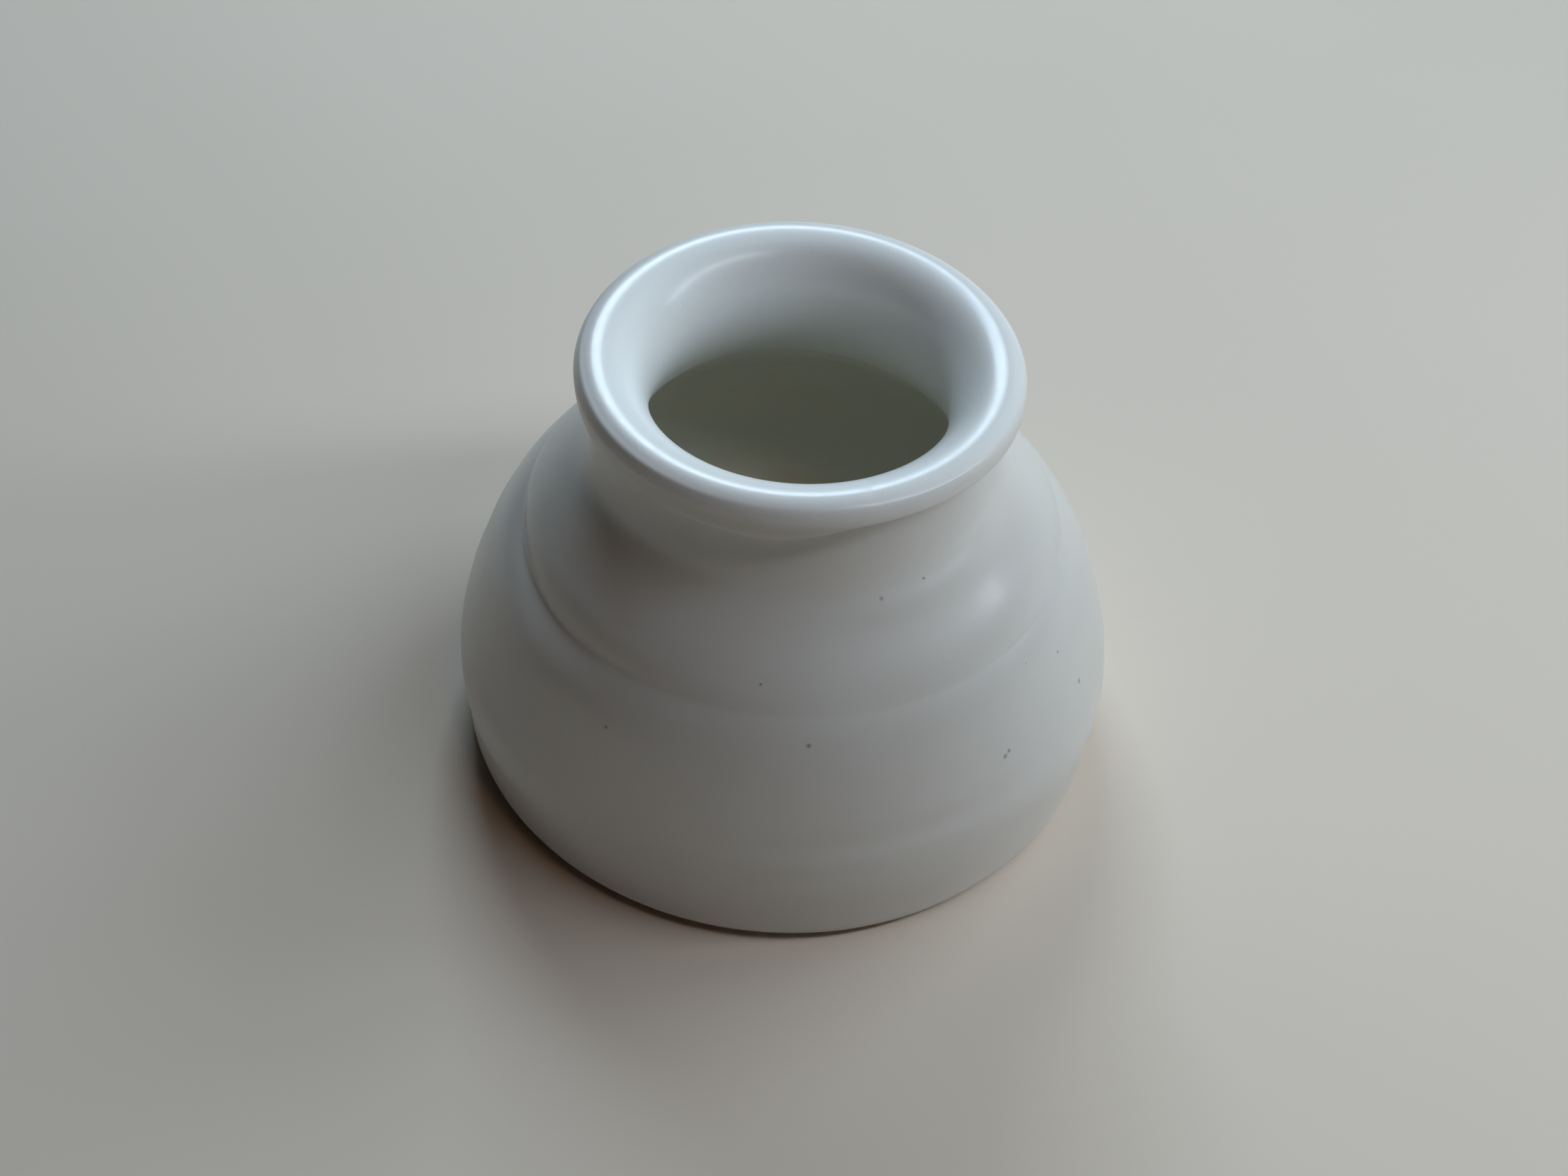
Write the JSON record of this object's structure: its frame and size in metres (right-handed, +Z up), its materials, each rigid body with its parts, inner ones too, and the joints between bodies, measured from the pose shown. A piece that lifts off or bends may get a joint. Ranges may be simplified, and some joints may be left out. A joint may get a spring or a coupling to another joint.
{
  "type": "bud vase",
  "caption": "Squat wheel-thrown ceramic bud vase with a wide belly, sloping creased shoulder, short neck and thick rolled lip, satin white glaze inside and out.",
  "frame": {"origin": "on the vase's axis, in the plane of the foot ring that it stands on", "axes": "+Z up along the axis, out of the mouth; +X and +Y are any two directions across, because the vase is turned"},
  "size_m": [0.0906, 0.0906, 0.064],
  "materials": {
    "bare_clay": "matte",
    "liner_glaze": "satin",
    "outer_glaze": "satin"
  },
  "bodies": {
    "root": {"clay_body": "bare_clay", "liner_glaze": "liner_glaze", "outer_glaze": "outer_glaze"}
  },
  "joints": []
}
